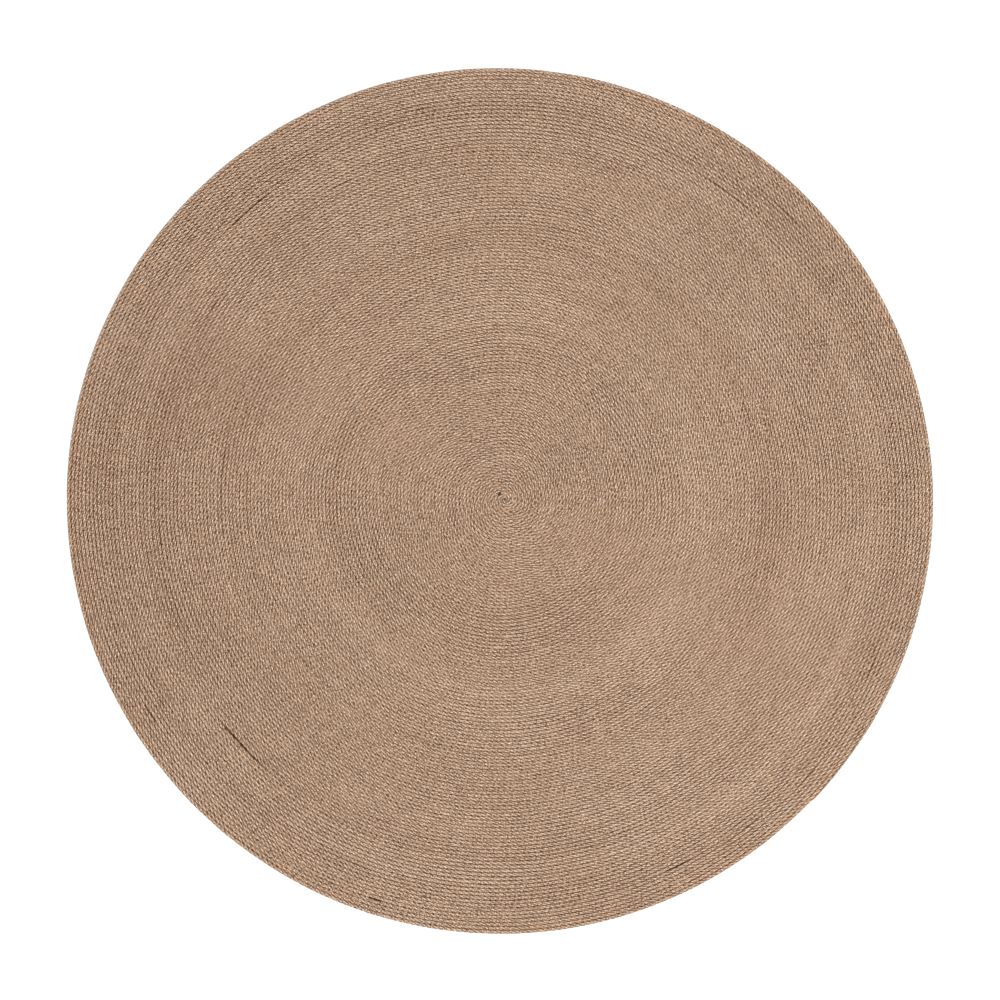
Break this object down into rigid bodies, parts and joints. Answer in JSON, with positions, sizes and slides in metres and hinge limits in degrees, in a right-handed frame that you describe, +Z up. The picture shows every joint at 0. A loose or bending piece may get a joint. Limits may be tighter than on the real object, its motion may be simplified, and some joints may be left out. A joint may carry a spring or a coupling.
{
  "type": "area rug",
  "caption": "Round flat rug of twisted jute cord, wound in a spiral from the centre and sewn turn to turn from below.",
  "frame": {"origin": "on the floor, under the middle of the rug's outline", "axes": "+Z up from the floor through the rug's thickness; +Y is away from a person who looks at the rug with the cord's tail end at the lower right, and +X is to that person's right"},
  "size_m": [1.4992, 1.4982, 0.0064],
  "materials": {
    "jute_cord": "undyed twisted jute, matt and hairy",
    "sewing_thread": "natural cotton thread, matt"
  },
  "bodies": {
    "root": {"cord_length_1": "jute_cord", "cord_length_2": "jute_cord", "cord_length_3": "jute_cord", "cord_length_4": "jute_cord", "cord_length_5": "jute_cord", "cord_length_6": "jute_cord", "cord_length_7": "jute_cord", "cord_length_8": "jute_cord", "cord_length_9": "jute_cord", "cord_length_10": "jute_cord", "cord_length_11": "jute_cord", "rim_cord": "jute_cord", "seam_thread_1": "sewing_thread", "seam_thread_2": "sewing_thread", "seam_thread_3": "sewing_thread", "seam_thread_4": "sewing_thread", "seam_thread_5": "sewing_thread", "seam_thread_6": "sewing_thread", "seam_thread_7": "sewing_thread", "seam_thread_8": "sewing_thread", "seam_thread_9": "sewing_thread", "seam_thread_10": "sewing_thread", "seam_thread_11": "sewing_thread"}
  },
  "joints": []
}
